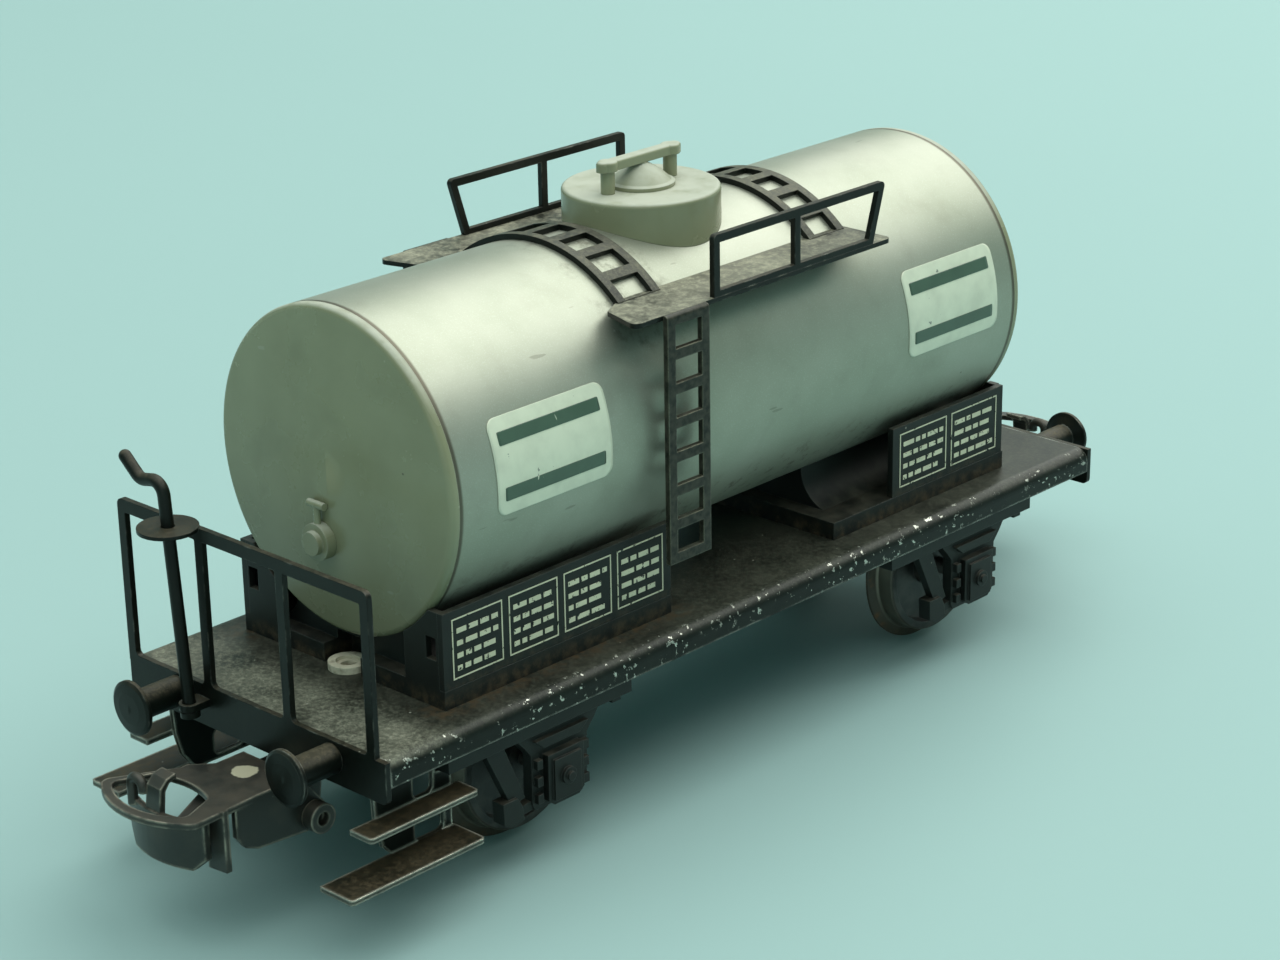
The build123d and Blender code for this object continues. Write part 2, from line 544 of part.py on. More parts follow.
def hatch_cover():
    """Low cone with a brim and a flat button for the clamp."""
    brim = HATCH_R + 0.35
    button = 0.6
    flank = ThreePointArc((HATCH_R, DOME_TOP + 0.45), (1.75, DOME_TOP + 1.15), (button, HATCH_APEX - 0.1))
    section = make_face([Line((0, DOME_TOP), (brim, DOME_TOP)),
                         Line((brim, DOME_TOP), (brim, DOME_TOP + 0.3)),
                         Line((brim, DOME_TOP + 0.3), (HATCH_R, DOME_TOP + 0.45)), flank,
                         Line((button, HATCH_APEX - 0.1), (button, HATCH_APEX)),
                         Line((button, HATCH_APEX), (0, HATCH_APEX)), Line((0, HATCH_APEX), (0, DOME_TOP))])
    return revolve(Plane.XZ * section, axis=Axis.Z)


def hatch_clamp():
    """Clamp bar across the hatch, on two round posts."""
    top = HATCH_APEX + CLAMP_THICK
    bar = plate_xy(Pos(-0.2, 0) * SlotOverall(9.8, 1.15), HATCH_APEX, top)
    part = fillet(bar.edges().group_by(Axis.Z)[-1], CLAMP_EDGE)
    for x in CLAMP_X:
        boss = rod_z(HATCH_APEX, top, x, 0, CLAMP_BOSS_R)
        part += fillet(boss.edges().group_by(Axis.Z)[-1], CLAMP_EDGE)
        part += rod_z(DOME_TOP, HATCH_APEX, x, 0, CLAMP_POST_R)
    return part


# ---------------------------------------------------------------- walkways, straps, ladders, handrails
def shifted(piece, side):
    """Walkways and ladders are drawn at -Y; the +Y ones are mirrored and stand a little forward."""
    if side < 0:
        return piece
    return Pos(LEFT_SHIFT, 0, 0) * mirror(piece, about=Plane.XZ)


def catwalk(side):
    x0, x1 = WALK_X
    front = STRAPS["front"][0]
    plan = face_of([(x0, -WALK_OUT), (x1, -WALK_OUT), (x1, -WALK_INNER), (front, -WALK_INNER),
                    (front, -WALK_INNER - 0.8), (x0 + 1.2, -WALK_INNER - 1.9)])
    plan = fillet(plan.vertices().group_by(Axis.Y)[0], 0.6)
    part = plate_xy(plan, WALK_TOP - WALK_THICK, WALK_TOP)
    return shifted(part - tank_cylinder(), side)


def ladder(side):
    """Ladder hanging from the edge of the walkway, bent over at its top."""
    x0, x1 = STRAPS["front"]
    face = Pos((x0 + x1) / 2, (LADDER_LOW + WALK_TOP) / 2) * Rectangle(x1 - x0, WALK_TOP - LADDER_LOW)
    pitch = (WALK_TOP - LADDER_LOW - LADDER_RUNG) / LADDER_OPENINGS
    for i in range(LADDER_OPENINGS):
        middle = LADDER_LOW + LADDER_RUNG + pitch * i + (pitch - LADDER_RUNG) / 2
        face -= Pos((x0 + x1) / 2, middle) * Rectangle(x1 - x0 - 1.8, pitch - LADDER_RUNG)
    part = plate_xz(face, -WALK_OUT - STRAP_THICK, -WALK_OUT)
    part = fillet(part.edges().group_by(Axis.Z)[-1].sort_by(Axis.Y)[0], 0.4)
    return shifted(part, side)


def handrail(side):
    """Stamped handrail with three posts; the last post leans outward."""
    x0, x1 = HANDRAIL_FEET[0], HANDRAIL_FEET[-1] + HANDRAIL_POST
    top, spread = HANDRAIL_TOP, HANDRAIL_SPREAD
    post, bar = HANDRAIL_POST, 0.7
    face = face_of([(x0, WALK_TOP), (x1, WALK_TOP), (x1 + spread, top), (x0, top)])
    low, high = WALK_TOP + 0.5, top - bar
    lean = spread * (high - low) / (top - WALK_TOP)
    middle = HANDRAIL_FEET[1]
    foot = spread * 0.5 / (top - WALK_TOP)
    face -= face_of([(x0 + post, low), (middle, low), (middle, high), (x0 + post, high)])
    inside = x1 - post + foot
    face -= face_of([(middle + post, low), (inside, low), (inside + lean, high), (middle + post, high)])
    face = fillet(face.vertices().filter_by(lambda v: v.Y > top - 0.01), 0.4)
    part = plate_xz(face, -WALK_OUT, -WALK_OUT + 0.5)
    if side < 0:
        return part
    return Pos(2 * HANDRAIL_TURN, 0, 0) * other_end(part)


def strap(end):
    """Perforated strap over the tank between the two walkways."""
    x0, x1 = STRAPS[end]
    ring = tank_cylinder(STRAP_THICK) - tank_cylinder(0.0)
    part = ring & block(x0, x1, -20, 20, WALK_TOP, TANK_AXIS + TANK_R + 2)
    for i in range(STRAP_OPENINGS):
        angle = (i - (STRAP_OPENINGS - 1) / 2) * STRAP_PITCH
        hole = Rot(angle, 0, 0) * Pos((x0 + x1) / 2, 0, TANK_R) * Box(x1 - x0 - 1.7, STRAP_OPENING, 4)
        part -= Pos(0, 0, TANK_AXIS) * hole
    return part


# ---------------------------------------------------------------- write every piece
def main():
    save(deck(), "deck")
    save(end_frame(), "end_frame")
    save(other_end(headstock_plate()), "rear_headstock")
    save(brake_crank(), "brake_crank")
    sides = {"right": -1, "left": 1}
    for name, side in sides.items():
        save(buffer(side * BUFFER_Y), f"buffer_front_{name}")
        save(other_end(buffer(-side * BUFFER_Y)), f"buffer_rear_{name}")
        save(step_unit(side), f"steps_{name}")
        save(catwalk(side), f"catwalk_{name}")
        save(handrail(side), f"handrail_{name}")
        save(ladder(side), f"ladder_{name}")
    for end, axle_x in zip(("front", "rear"), AXLE_X):
        save(axle_guard(axle_x), f"axle_guard_{end}")
        save(axle(axle_x), f"axle_{end}")
        save(cradle(end), f"cradle_{end}")
        save(strap(end), f"strap_{end}")
        for name, side in sides.items():
            save(wheel(axle_x, side), f"wheel_{end}_{name}")
            save(data_board(end, side), f"data_board_{end}_{name}")
    coupler = {"rivet": coupler_rivet, "arm": coupler_arm, "loop": coupler_loop, "pin": coupler_pin}
    for name, make in coupler.items():
        piece = make()
        save(piece, f"coupler_{name}_front")
        save(other_end(piece), f"coupler_{name}_rear")
    save(cradle_screws(), "cradle_screws")
    save(underframe_rivets(), "underframe_rivets")
    save(barrel(), "tank_barrel")
    save(tank_end(-1), "tank_end_front")
    save(tank_end(1), "tank_end_rear")
    save(outlet_cock(), "outlet_cock")
    save(dome(), "dome")
    save(hatch_cover(), "hatch_cover")
    save(hatch_clamp(), "hatch_clamp")


main()
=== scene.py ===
"""Looks of the model tank wagon: materials, painted panels, board marks, stage, lights and camera."""
import math
import random

import bmesh
import bpy
from mathutils import Matrix, Vector


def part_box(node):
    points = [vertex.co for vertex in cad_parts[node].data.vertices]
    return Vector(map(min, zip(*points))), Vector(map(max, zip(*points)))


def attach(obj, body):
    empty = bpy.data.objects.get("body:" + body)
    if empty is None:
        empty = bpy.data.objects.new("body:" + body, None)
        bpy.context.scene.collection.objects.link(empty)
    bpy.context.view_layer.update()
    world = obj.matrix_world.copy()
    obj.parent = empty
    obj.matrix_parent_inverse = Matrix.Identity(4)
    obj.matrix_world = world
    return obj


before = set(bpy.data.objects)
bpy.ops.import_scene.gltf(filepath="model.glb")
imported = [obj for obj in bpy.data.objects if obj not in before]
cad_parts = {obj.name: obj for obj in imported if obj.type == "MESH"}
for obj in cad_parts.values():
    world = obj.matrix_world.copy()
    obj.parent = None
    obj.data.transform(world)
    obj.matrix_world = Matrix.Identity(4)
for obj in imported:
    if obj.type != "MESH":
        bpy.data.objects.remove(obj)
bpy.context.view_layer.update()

MM = 0.001


# ---------------------------------------------------------------- node helpers
class Shade:
    """A material under construction; its methods add nodes and return sockets."""

    def __init__(self, name):
        """Empty material with its shader, and the position and normal that the patterns use."""
        self.material = bpy.data.materials.new(name)
        self.material.use_nodes = True
        self.tree = self.material.node_tree
        self.tree.nodes.clear()
        self.shader = self.tree.nodes.new("ShaderNodeBsdfPrincipled")
        output = self.tree.nodes.new("ShaderNodeOutputMaterial")
        self.tree.links.new(self.shader.outputs["BSDF"], output.inputs["Surface"])
        self.place = self.tree.nodes.new("ShaderNodeTexCoord").outputs["Object"]
        geometry = self.tree.nodes.new("ShaderNodeNewGeometry")
        self.normal = geometry.outputs["Normal"]
        axes = self.tree.nodes.new("ShaderNodeSeparateXYZ")
        self.tree.links.new(self.normal, axes.inputs[0])
        self.up = axes.outputs["Z"]
        spot = self.tree.nodes.new("ShaderNodeSeparateXYZ")
        self.tree.links.new(self.place, spot.inputs[0])
        self.x, self.y, self.z = spot.outputs

    def feed(self, socket, value):
        """Sets a socket to a number or a colour, or links another socket to it."""
        if isinstance(value, bpy.types.NodeSocket):
            self.tree.links.new(value, socket)
        elif isinstance(value, (tuple, list)) and len(value) == 3 and len(socket.default_value) == 4:
            socket.default_value = (*value, 1.0)
        else:
            socket.default_value = value

    def math(self, operation, *values):
        """Output of one math node."""
        node = self.tree.nodes.new("ShaderNodeMath")
        node.operation = operation
        for socket, value in zip(node.inputs, values):
            self.feed(socket, value)
        return node.outputs[0]

    def product(self, first, second):
        """first times second."""
        return self.math("MULTIPLY", first, second)

    def total(self, first, second):
        """first plus second."""
        return self.math("ADD", first, second)

    def step(self, value, low, high):
        """0 below low, 1 above high, smooth between; low may be the larger one."""
        node = self.tree.nodes.new("ShaderNodeMapRange")
        node.interpolation_type = "SMOOTHSTEP"
        for socket, number in zip(node.inputs, (value, low, high, 0.0, 1.0)):
            self.feed(socket, number)
        return node.outputs[0]

    def mix(self, factor, first, second):
        """Colour that goes from first at factor 0 to second at factor 1."""
        node = self.tree.nodes.new("ShaderNodeMix")
        node.data_type = "RGBA"
        self.feed(node.inputs["Factor"], factor)
        self.feed(node.inputs[6], first)
        self.feed(node.inputs[7], second)
        return node.outputs[2]

    def stretched(self, scale):
        """Object position scaled along each axis, so that noise on it comes out as streaks."""
        node = self.tree.nodes.new("ShaderNodeMapping")
        self.tree.links.new(self.place, node.inputs["Vector"])
        node.inputs["Scale"].default_value = scale
        return node.outputs[0]

    def noise(self, size_mm, detail=3.0, roughness=0.55, vector=None, shift=0.0):
        """Noise of the given grain size; another shift gives an unrelated pattern."""
        node = self.tree.nodes.new("ShaderNodeTexNoise")
        node.noise_dimensions = "4D"
        self.tree.links.new(vector or self.place, node.inputs["Vector"])
        node.inputs["W"].default_value = shift
        node.inputs["Scale"].default_value = 1.0 / (size_mm * MM)
        node.inputs["Detail"].default_value = detail
        node.inputs["Roughness"].default_value = roughness
        return node.outputs["Fac"]

    def specks(self, cell_mm, radius, share, shift=0.0):
        """Scattered dots: radius is a part of the cell, share the part of cells with a dot."""
        node = self.tree.nodes.new("ShaderNodeTexVoronoi")
        node.voronoi_dimensions = "4D"
        self.tree.links.new(self.place, node.inputs["Vector"])
        node.inputs["W"].default_value = shift
        node.inputs["Scale"].default_value = 1.0 / (cell_mm * MM)
        node.inputs["Randomness"].default_value = 1.0
        tone = self.tree.nodes.new("ShaderNodeSeparateColor")
        self.tree.links.new(node.outputs["Color"], tone.inputs[0])
        size = self.product(tone.outputs["Green"], radius)
        dot = self.step(self.math("SUBTRACT", node.outputs["Distance"], size), 0.04, 0.0)
        chosen = self.math("LESS_THAN", tone.outputs["Red"], share)
        return self.product(dot, chosen)

    def rounded(self, radius_mm):
        """Normal that looks rounded over at sharp edges."""
        node = self.tree.nodes.new("ShaderNodeBevel")
        node.samples = 4
        node.inputs["Radius"].default_value = radius_mm * MM
        return node.outputs[0]

    def edges(self, radius_mm, low=0.02, high=0.25):
        """1 along sharp edges, 0 on flats."""
        node = self.tree.nodes.new("ShaderNodeVectorMath")
        node.operation = "DOT_PRODUCT"
        self.tree.links.new(self.rounded(radius_mm), node.inputs[0])
        self.tree.links.new(self.normal, node.inputs[1])
        return self.step(self.math("SUBTRACT", 1.0, node.outputs["Value"]), low, high)

    def between(self, value, span_mm):
        """step() between two lengths in mm."""
        return self.step(value, span_mm[0] * MM, span_mm[1] * MM)

    def bump(self, height, strength, depth_mm, under=None):
        """Normal bent by a height, on top of the normal under."""
        node = self.tree.nodes.new("ShaderNodeBump")
        node.inputs["Strength"].default_value = strength
        node.inputs["Distance"].default_value = depth_mm * MM
        self.feed(node.inputs["Height"], height)
        if under is not None:
            self.tree.links.new(under, node.inputs["Normal"])
        return node.outputs[0]

    def finish(self, color, roughness, metallic=0.0, normal=None, specular=0.5):
        """Connects the shader and returns the material."""
        self.feed(self.shader.inputs["Base Color"], color)
        self.feed(self.shader.inputs["Roughness"], roughness)
        self.feed(self.shader.inputs["Metallic"], metallic)
        self.shader.inputs["Specular IOR Level"].default_value = specular
        if normal is not None:
            self.tree.links.new(normal, self.shader.inputs["Normal"])
        return self.material


# ---------------------------------------------------------------- colours
SILVER = (0.385, 0.39, 0.325)
SILVER_LOW = (0.315, 0.33, 0.262)
GREY_GREEN = (0.215, 0.218, 0.130)
GREY_PALE = (0.46, 0.47, 0.40)
BLACK = (0.0030, 0.0040, 0.0030)
BLACK_GREEN = (0.0060, 0.0085, 0.0062)
DUST = (0.090, 0.083, 0.062)
DUST_PALE = (0.34, 0.335, 0.27)
LINT = (0.60, 0.59, 0.50)
BARE = (0.50, 0.50, 0.44)
BROWN = (0.062, 0.043, 0.024)
BROWN_DUST = (0.125, 0.104, 0.068)
RUST = (0.13, 0.060, 0.022)
CREAM = (0.66, 0.685, 0.545)
GREEN = (0.060, 0.105, 0.072)
SOIL = (0.075, 0.068, 0.045)
FLAKE = (0.62, 0.64, 0.58)
GREY_FILM = (0.20, 0.20, 0.15)
SPECK = (0.085, 0.075, 0.05)
SPECK_PALE = (0.62, 0.63, 0.56)
SCRATCH = (0.16, 0.16, 0.12)
CAP_LIGHT = (0.250, 0.256, 0.158)
# colour of the painted shade low on the end caps
CAP_PAINTED_SHADE_COLOR = (0.105, 0.110, 0.070)
# colour of the painted highlight along the grey moulding's edges
CAP_EDGE_HIGHLIGHT = (0.36, 0.37, 0.29)
CAP_SPECK = (0.075, 0.07, 0.045)
CAP_SPECK_PALE = (0.50, 0.50, 0.42)
CAP_HAZE = (0.13, 0.135, 0.095)
CAP_SCRATCH = (0.34, 0.35, 0.28)
# colour of the painted highlight along the matt mouldings' edges
EDGE_HIGHLIGHT_GREY = (0.10, 0.105, 0.095)
CAST_BROWN = (0.035, 0.032, 0.026)
RIM_BROWN = (0.075, 0.055, 0.035)
TREAD = (0.30, 0.27, 0.22)
COUPLER_DARK = (0.020, 0.022, 0.019)
COUPLER_BROWN = (0.040, 0.036, 0.028)
COUPLER_DUST = (0.070, 0.056, 0.038)
COUPLER_RIM = (0.50, 0.45, 0.36)
SPOT = (0.50, 0.46, 0.33)
IVORY = (0.60, 0.56, 0.43)
IVORY_STAIN = (0.30, 0.26, 0.18)
INK_SPECK = (0.14, 0.12, 0.09)
PAINT_UNDER = (0.20, 0.22, 0.19)
BOARD_INK = (0.60, 0.58, 0.42)
STEEL = (0.30, 0.29, 0.27)

# ---------------------------------------------------------------- places of the patterns, mm
LOOP_SPOT = (-47.4, -1.7)        # middle of a pale spot on the upward faces of the platform coupler's loop
SPOT_RADIUS = 1.55
PLATFORM_EDGE = (-36.0, -41.5)   # where the platform's heavier dust starts and is full
STRAP_SOIL = (38.0, 41.5)        # heights where the soil beside the front strap starts and is full
CAP_PAINTED_SHADE_HEIGHTS = (34.0, 20.0)         # heights where the painted shade low on the end caps starts and is darkest
BEND_REACH = (1.1, 0.7)          # from the deck's side inwards, where its chips start and are full
FOOT_REACH = (2.6, 0.8)          # from the boards, where the crumbs start and are full
AXLE_HEIGHT = 7.5
RIM_START = (6.0, 6.6)           # from the axle, where the wheel's brown rim starts and is full
FLANGE_RUST = (6.6, 7.3)         # from the axle, where the rust starts and is full
TREAD_IN = (6.3, 6.45)           # from the axle, where the bright tread starts and is full
TREAD_OUT = (6.75, 6.6)          # from the axle, where it ends and is still full


# ---------------------------------------------------------------- materials
def near(s, node, reach_mm, axis="x"):
    """1 within a node's box along one axis, fading to 0 at the given reach beyond it."""
    low, high = (corner["xyz".index(axis)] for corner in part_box(node))
    middle, half = (low + high) / 2, (high - low) / 2
    away = s.math("SUBTRACT", s.math("ABSOLUTE", s.math("SUBTRACT", getattr(s, axis), middle)), half)
    return s.step(away, reach_mm * MM, 0.0)


def silver_lacquer():
    """Silver lacquer with a fine flake, soiled beside the front strap, above the boards and at the seams."""
    s = Shade("silver_lacquer")
    flake = s.noise(0.10, detail=2.0)
    cloud = s.noise(11.0, detail=4.0)
    color = s.mix(s.step(cloud, 0.3, 0.7), SILVER_LOW, SILVER)
    color = s.mix(s.product(s.step(flake, 0.52, 0.72), 0.22), color, FLAKE)
    high = s.between(s.z, STRAP_SOIL)
    beside = s.product(near(s, "strap_front", 2.8), high)
    soil = s.step(s.noise(1.6, detail=8.0, roughness=0.7, shift=3.0), 0.46, 0.68)
    color = s.mix(s.product(s.product(soil, beside), 0.7), color, SOIL)
    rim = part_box("tank_barrel")[1][0]
    seam = s.step(s.math("ABSOLUTE", s.x), rim - 0.5 * MM, rim - 0.2 * MM)
    color = s.mix(s.product(seam, 0.8), color, BROWN)
    low = near(s, "data_board_front_right", 3.2, axis="z")
    grit = s.step(s.noise(1.2, detail=8.0, roughness=0.75, shift=12.0), 0.50, 0.66)
    color = s.mix(s.product(s.product(grit, low), 0.6), color, BROWN)
    film = s.product(s.step(s.noise(4.0, detail=6.0, shift=7.0), 0.5, 0.78), 0.25)
    color = s.mix(film, color, GREY_FILM)
    color = s.mix(s.specks(2.8, 0.06, 0.22), color, SPECK)
    pale = s.specks(3.6, 0.05, 0.12, shift=5.0)
    color = s.mix(pale, color, SPECK_PALE)
    scratch = s.step(s.noise(1.0, detail=2.0, vector=s.stretched((0.16, 1.0, 1.0)), shift=8.0), 0.725, 0.745)
    color = s.mix(s.product(scratch, 0.45), color, SCRATCH)
    roughness = s.total(0.42, s.product(flake, 0.10))
    normal = s.bump(flake, 0.10, 0.02)
    return s.finish(color, roughness, metallic=0.72, normal=normal)


def grey_moulding():
    """Grey-green plastic of the end caps, dome and hatch, pale with dust where it faces up, with painted
    shade towards the bottom and a painted highlight along the edges.
    """
    s = Shade("grey_moulding")
    cloud = s.noise(8.0, detail=4.0)
    color = s.mix(s.step(cloud, 0.3, 0.7), GREY_GREEN, CAP_LIGHT)
    # painted shade: darker towards the bottom, mostly on the end caps
    low = s.between(s.z, CAP_PAINTED_SHADE_HEIGHTS)
    color = s.mix(s.product(low, 0.55), color, CAP_PAINTED_SHADE_COLOR)
    facing = s.step(s.up, 0.45, 0.95)
    dusty = s.product(facing, s.step(s.noise(1.6, detail=6.0, shift=2.0), 0.1, 0.6))
    color = s.mix(s.product(dusty, 0.75), color, GREY_PALE)
    # painted highlight: a paler tone along the sharp edges
    color = s.mix(s.product(s.edges(0.25), 0.45), color, CAP_EDGE_HIGHLIGHT)
    color = s.mix(s.specks(2.0, 0.07, 0.14), color, CAP_SPECK)
    color = s.mix(s.product(s.specks(3.0, 0.05, 0.18, shift=3.0), 0.8), color, CAP_SPECK_PALE)
    haze = s.step(s.noise(5.0, detail=5.0, shift=6.0), 0.52, 0.75)
    color = s.mix(s.product(haze, 0.25), color, CAP_HAZE)
    scratch = s.step(s.noise(1.3, detail=2.0, vector=s.stretched((1.0, 0.35, 1.0)), shift=4.0), 0.72, 0.735)
    color = s.mix(s.product(scratch, 0.4), color, CAP_SCRATCH)
    grain = s.noise(0.3, detail=2.0)
    roughness = s.total(0.27, s.product(dusty, 0.38))
    roughness = s.total(roughness, s.product(haze, 0.1))
    return s.finish(color, roughness, normal=s.bump(grain, 0.05, 0.04, under=s.rounded(0.15)))


def black_lacquer(name, wear=0.6, film=0.4, dots=0.5, rim_mm=0.22, bare=BARE, dust=DUST, fine=0.35, bend=None,
                  heavy=None, soil=None, haze=0.02):
    """Black lacquered tinplate: bare edges, a fine dust film and pale specks where it faces up.

    bend, heavy and soil are functions of the material that say where the lacquer is chipped, where
    the film is thicker and where brown crumbs lie; haze is the dust on faces of every direction.
    """
    s = Shade(name)
    color = s.mix(s.step(s.noise(5.0, detail=4.0), 0.35, 0.7), BLACK, BLACK_GREEN)
    facing = s.step(s.up, 0.3, 0.9)
    cloud = s.step(s.noise(5.0, detail=5.0, roughness=0.6, shift=1.0), 0.20, 0.85)
    powder = s.step(s.noise(fine, detail=6.0, roughness=0.75, shift=11.0), 0.40, 0.70)
    film_mask = s.product(s.product(s.total(cloud, powder), 0.5 * film), facing)
    if heavy is not None:
        film_mask = s.product(film_mask, s.total(0.35, s.product(heavy(s), 1.1)))
    color = s.mix(film_mask, color, dust)
    if soil is not None:
        crumbs = s.step(s.noise(0.8, detail=8.0, roughness=0.7, shift=18.0), 0.42, 0.62)
        color = s.mix(s.product(s.product(crumbs, facing), soil(s)), color, BROWN)
    faint = s.product(s.step(s.noise(0.6, detail=5.0, shift=6.0), 0.25, 0.70), haze)
    color = s.mix(faint, color, DUST)
    spread = s.total(s.product(facing, 0.9), 0.1)
    small = s.product(s.specks(0.7, 0.13, dots * 0.45, shift=2.0), spread)
    color = s.mix(s.product(small, 0.8), color, DUST_PALE)
    large = s.product(s.specks(2.6, 0.065, dots * 0.4, shift=9.0), spread)
    color = s.mix(large, color, LINT)
    rubbed = s.edges(rim_mm)
    worn = s.product(rubbed, s.step(s.noise(1.6, detail=5.0, shift=7.0), 0.62 - 0.35 * wear, 0.72))
    if bend is not None:
        chips = s.step(s.noise(0.55, detail=4.0, roughness=0.65, shift=15.0), 0.60, 0.63)
        patchy = s.step(s.noise(4.0, detail=3.0, shift=16.0), 0.36, 0.55)
        worn = s.math("MAXIMUM", worn, s.product(s.product(chips, patchy), bend(s)))
    color = s.mix(worn, color, bare)
    roughness = s.total(0.33, s.product(film_mask, 0.55))
    roughness = s.math("SUBTRACT", roughness, s.product(worn, 0.08))
    grain = s.total(s.noise(0.3, detail=3.0), s.product(s.total(small, powder), 0.4))
    return s.finish(color, roughness, metallic=s.product(worn, 0.8), specular=0.22,
                    normal=s.bump(grain, 0.10, 0.03, under=s.rounded(0.12)))


def deck_bend(s):
    """1 on the rounded long edges of the deck and the skirt below them."""
    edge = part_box("deck")[1][1]
    return s.step(s.math("ABSOLUTE", s.y), edge - BEND_REACH[0] * MM, edge - BEND_REACH[1] * MM)


def platform_part(s):
    """1 on the open platform, 0 under the tank."""
    return s.between(s.x, PLATFORM_EDGE)


def board_foot(s):
    """1 around the foot of the front data boards."""
    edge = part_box("data_board_front_left")[0][1]
    away = s.math("ABSOLUTE", s.math("SUBTRACT", s.math("ABSOLUTE", s.y), edge))
    beside = s.between(away, FOOT_REACH)
    return s.product(beside, near(s, "data_board_front_left", 3.0))


def matt_moulding(name, dirt=0.0, dirt_top=0.0):
    """Matt black moulding with a painted highlight along its edges; dirt adds brown crumbly soiling below the
    height dirt_top, in mm.
    """
    s = Shade(name)
    color = s.mix(s.step(s.noise(4.0, detail=4.0), 0.35, 0.7), BLACK, BLACK_GREEN)
    facing = s.step(s.up, 0.4, 0.95)
    film = s.product(facing, s.step(s.noise(1.8, detail=6.0, shift=1.0), 0.3, 0.75))
    color = s.mix(s.product(film, 0.55), color, DUST)
    if dirt:
        low = s.step(s.z, dirt_top * MM, (dirt_top - 1.4) * MM)
        crumbs = s.step(s.noise(1.1, detail=8.0, roughness=0.7, shift=4.0), 0.42, 0.66)
        color = s.mix(s.product(s.product(low, crumbs), dirt), color, BROWN)
    color = s.mix(s.product(s.specks(1.5, 0.10, 0.18), 0.6), color, DUST_PALE)
    # painted highlight: a paler grey along the sharp edges
    color = s.mix(s.product(s.edges(0.18), 0.22), color, EDGE_HIGHLIGHT_GREY)
    grain = s.noise(0.25, detail=3.0)
    return s.finish(color, 0.52, normal=s.bump(grain, 0.18, 0.05, under=s.rounded(0.12)), specular=0.4)


def wheel_casting(axle_x):
    """Blackened wheel with a rusty flange and a running tread rubbed bright, by distance from its axle."""
    s = Shade(f"wheel_casting_{round(axle_x)}")
    dx = s.math("SUBTRACT", s.x, axle_x * MM)
    dz = s.math("SUBTRACT", s.z, AXLE_HEIGHT * MM)
    radius = s.math("SQRT", s.total(s.product(dx, dx), s.product(dz, dz)))
    color = s.mix(s.step(s.noise(2.0, detail=5.0), 0.4, 0.65), BLACK, CAST_BROWN)
    rim = s.between(radius, RIM_START)
    color = s.mix(s.product(rim, 0.6), color, RIM_BROWN)
    patches = s.step(s.noise(1.5, detail=6.0, shift=3.0), 0.5, 0.7)
    rust = s.product(patches, s.between(radius, FLANGE_RUST))
    color = s.mix(rust, color, RUST)
    tread = s.product(s.between(radius, TREAD_IN), s.between(radius, TREAD_OUT))
    color = s.mix(s.product(tread, 0.55), color, TREAD)
    color = s.mix(s.product(s.specks(1.4, 0.09, 0.2), 0.5), color, DUST_PALE)
    grain = s.noise(0.3, detail=4.0)
    return s.finish(color, 0.42, metallic=s.product(tread, 0.8),
                    normal=s.bump(grain, 0.2, 0.05, under=s.rounded(0.12)))


def plain_steel(name):
    """Turned steel with fine rings and brown stains."""
    s = Shade(name)
    tone = s.mix(s.step(s.noise(1.2, detail=5.0), 0.4, 0.7), STEEL, BROWN)
    turned = s.noise(0.12, detail=2.0, vector=s.stretched((1.0, 0.05, 1.0)))
    return s.finish(tone, s.total(0.3, s.product(turned, 0.2)), metallic=0.9,
                    normal=s.bump(turned, 0.1, 0.02, under=s.rounded(0.1)))


def coupler_steel(name="coupler_steel", patch=None):
    """Blackened steel, dusty on top and rubbed bare on the rims; patch is the middle of a pale spot."""
    s = Shade(name)
    color = s.mix(s.step(s.noise(3.0, detail=5.0), 0.4, 0.7), COUPLER_DARK, COUPLER_BROWN)
    facing = s.step(s.up, 0.4, 0.95)
    film = s.product(facing, s.step(s.noise(2.0, detail=6.0, shift=2.0), 0.25, 0.7))
    color = s.mix(s.product(film, 0.6), color, COUPLER_DUST)
    rims = s.edges(0.36, 0.01, 0.18)
    worn = s.product(rims, s.step(s.noise(1.8, detail=5.0, shift=5.0), 0.36, 0.62))
    color = s.mix(worn, color, COUPLER_RIM)
    color = s.mix(s.product(s.specks(1.3, 0.10, 0.25), 0.6), color, DUST_PALE)
    if patch is not None:
        away = [s.math("SUBTRACT", axis, value * MM) for axis, value in zip((s.x, s.y), patch)]
        squares = [s.product(value, value) for value in away]
        reach = s.total(s.math("SQRT", s.total(*squares)),
                       s.product(s.noise(0.9, detail=4.0, shift=31.0), 0.9 * MM))
        spot = s.product(s.step(reach, SPOT_RADIUS * MM, (SPOT_RADIUS - 0.15) * MM), facing)
        color = s.mix(spot, color, SPOT)
    roughness = s.total(0.34, s.product(film, 0.3))
    grain = s.noise(0.3, detail=3.0)
    return s.finish(color, roughness, metallic=s.total(0.15, s.product(worn, 0.7)),
                    normal=s.bump(grain, 0.15, 0.04, under=s.rounded(0.15)))


def cream_moulding():
    """Pale plastic with brown stains, for the coupler rivets."""
    s = Shade("cream_moulding")
    color = s.mix(s.step(s.noise(0.8, detail=5.0), 0.45, 0.75), IVORY, IVORY_STAIN)
    return s.finish(color, 0.5, normal=s.rounded(0.1))


